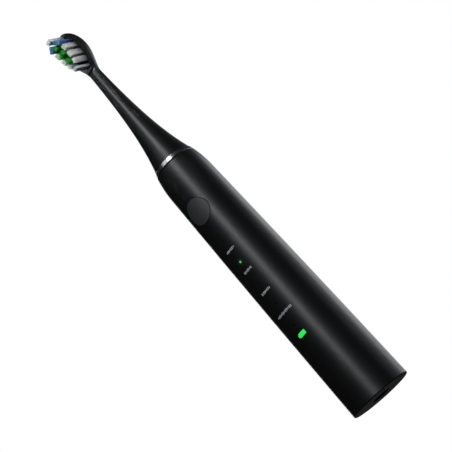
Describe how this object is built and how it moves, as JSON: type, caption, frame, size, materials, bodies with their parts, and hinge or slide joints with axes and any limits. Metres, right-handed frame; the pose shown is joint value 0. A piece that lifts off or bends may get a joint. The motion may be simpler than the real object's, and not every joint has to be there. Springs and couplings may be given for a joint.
{
  "type": "electric toothbrush",
  "caption": "Slim sonic toothbrush with a tapered handle, a round front button, mode lights and a pull-off brush head.",
  "frame": {"origin": "centre of the base face, on which the handle stands", "axes": "+Z from the base to the brush tip, -Y to the front with the button, lights and bristles"},
  "size_m": [0.029, 0.029, 0.222],
  "materials": {
    "shell_plastic": "black soft-touch plastic",
    "head_plastic": "black satin plastic",
    "cap_plastic": "dark grey satin plastic",
    "button_plastic": "dark grey matt plastic",
    "ring_metal": "satin plated ring",
    "seal_rubber": "black silicone",
    "frame_plastic": "white moulded plastic",
    "copper_wire": "enamelled copper",
    "ferrite": "dark ferrite",
    "cell_wrap": "cell can in a shrink wrap",
    "nickel": "nickel strip",
    "board_laminate": "green solder mask",
    "chip_plastic": "black moulded chips",
    "led_resin": "clear LED resin",
    "light_pipe_clear": "smoked clear plastic",
    "gauge_lens": "lit green lens",
    "baffle_foam": "black foam",
    "switch_metal": "plated switch case",
    "motor_steel": "drawn steel can",
    "motor_plastic": "black glass-filled plastic",
    "bush_bronze": "sintered bronze",
    "core_steel": "laminated steel",
    "magnet_plate": "nickel-plated magnet",
    "shaft_steel": "ground steel",
    "wire_insulation": "insulated wire",
    "insert_plastic": "white low-friction plastic",
    "bristle_white": "white nylon filaments",
    "bristle_green": "green nylon filaments",
    "bristle_blue": "blue nylon filaments",
    "anchor_brass": "flat brass wire"
  },
  "bodies": {
    "handle": {"handle_shell": "shell_plastic", "base_cap": "cap_plastic", "base_seal": "seal_rubber", "coil_bobbin": "frame_plastic", "charge_coil": "copper_wire", "coil_shield": "ferrite", "coil_leads": "wire_insulation", "inner_frame": "frame_plastic", "battery_cell": "cell_wrap", "battery_tab_top": "nickel", "battery_tab_bottom": "nickel", "circuit_board": "board_laminate", "board_screws": "shaft_steel", "board_chips": "chip_plastic", "indicator_leds": "led_resin", "light_baffle": "baffle_foam", "light_pipes": "light_pipe_clear", "battery_window": "gauge_lens", "switch_case": "switch_metal", "button_seal": "seal_rubber", "motor_case": "motor_steel", "motor_lower_cap": "motor_plastic", "motor_upper_cap": "motor_plastic", "motor_pad_lower": "seal_rubber", "motor_pad_upper": "seal_rubber", "motor_leads": "wire_insulation", "lower_bush": "bush_bronze", "upper_bush": "bush_bronze", "return_spring": "shaft_steel", "stator_core": "core_steel", "stator_coil": "copper_wire", "shaft_seal": "seal_rubber"},
    "button": {"power_button": "button_plastic", "switch_pin": "chip_plastic"},
    "drive": {"drive_shaft": "shaft_steel", "rotor_yoke": "core_steel", "rotor_magnets": "magnet_plate"},
    "brush_head": {"head_shell": "head_plastic", "head_ring": "ring_metal", "head_insert": "insert_plastic", "shaft_clip": "shaft_steel", "white_tufts": "bristle_white", "green_tufts": "bristle_green", "blue_tufts": "bristle_blue", "tuft_anchors": "anchor_brass"}
  },
  "joints": [
    {"name": "button_press", "type": "slide", "parent": "handle", "child": "button", "axis": [0, 1, 0], "range_m": [0, 0.0004], "stiffness_N_per_m": 2500, "springref_m": -0.0003},
    {"name": "shaft_swing", "type": "hinge", "parent": "handle", "child": "drive", "pos_m": [0, 0, 0.1], "axis": [0, 0, 1], "range_deg": [-5, 5], "stiffness_Nm_per_rad": 0.05},
    {"name": "head_pull", "type": "slide", "parent": "drive", "child": "brush_head", "axis": [0, 0, 1], "range_m": [0, 0.026]}
  ]
}
